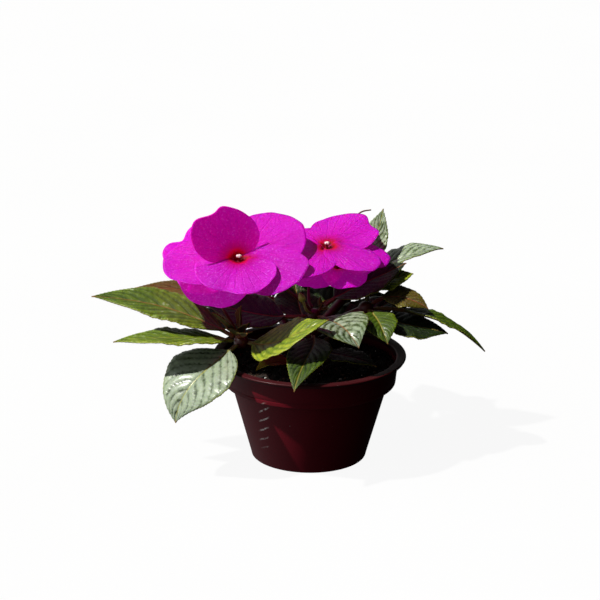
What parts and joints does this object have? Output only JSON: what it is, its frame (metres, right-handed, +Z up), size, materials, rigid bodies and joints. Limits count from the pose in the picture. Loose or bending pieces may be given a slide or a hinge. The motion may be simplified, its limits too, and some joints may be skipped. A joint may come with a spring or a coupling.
{
  "type": "potted impatiens",
  "caption": "New Guinea type impatiens with magenta blooms and pointed dark leaves, growing in a round burgundy plastic nursery pot.",
  "frame": {"origin": "middle of the underside of the pot", "axes": "+Z up the pot, -Y towards the side that is shown most often, +X to the right of someone looking at that side"},
  "size_m": [0.2143, 0.1594, 0.1441],
  "materials": {
    "pot_plastic": "semi-gloss burgundy, with dried water marks",
    "soil_mix": "damp dark potting mix with white grains",
    "stem_skin": "juicy, glossy red",
    "leaf_skin": "quilted, glossy dark green with red ribs",
    "young_skin": "soft olive brown",
    "petal_skin": "satin magenta with fine veins",
    "anther_skin": "powdery pinkish white",
    "withered_skin": "dry amber brown"
  },
  "bodies": {
    "root": {"bloom_left_lower_anthers": "anther_skin", "bloom_left_lower_pedicel": "stem_skin", "bloom_left_lower_petals": "petal_skin", "bloom_left_upper_anthers": "anther_skin", "bloom_left_upper_pedicel": "stem_skin", "bloom_left_upper_petals": "petal_skin", "bloom_right_lower_anthers": "anther_skin", "bloom_right_lower_pedicel": "stem_skin", "bloom_right_lower_petals": "petal_skin", "bloom_right_upper_anthers": "anther_skin", "bloom_right_upper_pedicel": "stem_skin", "bloom_right_upper_petals": "petal_skin", "branched_stem": "stem_skin", "bud_back": "petal_skin", "bud_front": "petal_skin", "bud_left_back": "petal_skin", "leaf_back_far_left": "leaf_skin", "leaf_back_far_right": "leaf_skin", "leaf_back_inner": "leaf_skin", "leaf_back_left": "leaf_skin", "leaf_back_low": "leaf_skin", "leaf_back_middle": "leaf_skin", "leaf_back_right": "leaf_skin", "leaf_back_side": "leaf_skin", "leaf_back_top": "leaf_skin", "leaf_back_upper": "leaf_skin", "leaf_centre_dark": "leaf_skin", "leaf_front_hanging": "leaf_skin", "leaf_front_left": "leaf_skin", "leaf_front_middle": "leaf_skin", "leaf_front_right": "leaf_skin", "leaf_inner_back": "leaf_skin", "leaf_inner_left": "leaf_skin", "leaf_inner_right": "leaf_skin", "leaf_left_long": "leaf_skin", "leaf_left_low": "leaf_skin", "leaf_left_rear": "leaf_skin", "leaf_right_bright": "leaf_skin", "leaf_right_dark": "leaf_skin", "leaf_right_long": "leaf_skin", "leaf_right_olive": "leaf_skin", "leaf_right_short": "leaf_skin", "leaf_silver_high": "leaf_skin", "leaf_silver_low": "leaf_skin", "leaf_soil_right": "leaf_skin", "leaf_under_bloom": "leaf_skin", "pot": "pot_plastic", "shoot_tip_back_left": "young_skin", "shoot_tip_back_right": "young_skin", "shoot_tip_centre": "young_skin", "shoot_tip_left": "young_skin", "soil": "soil_mix", "withered_leaf": "withered_skin"}
  },
  "joints": []
}
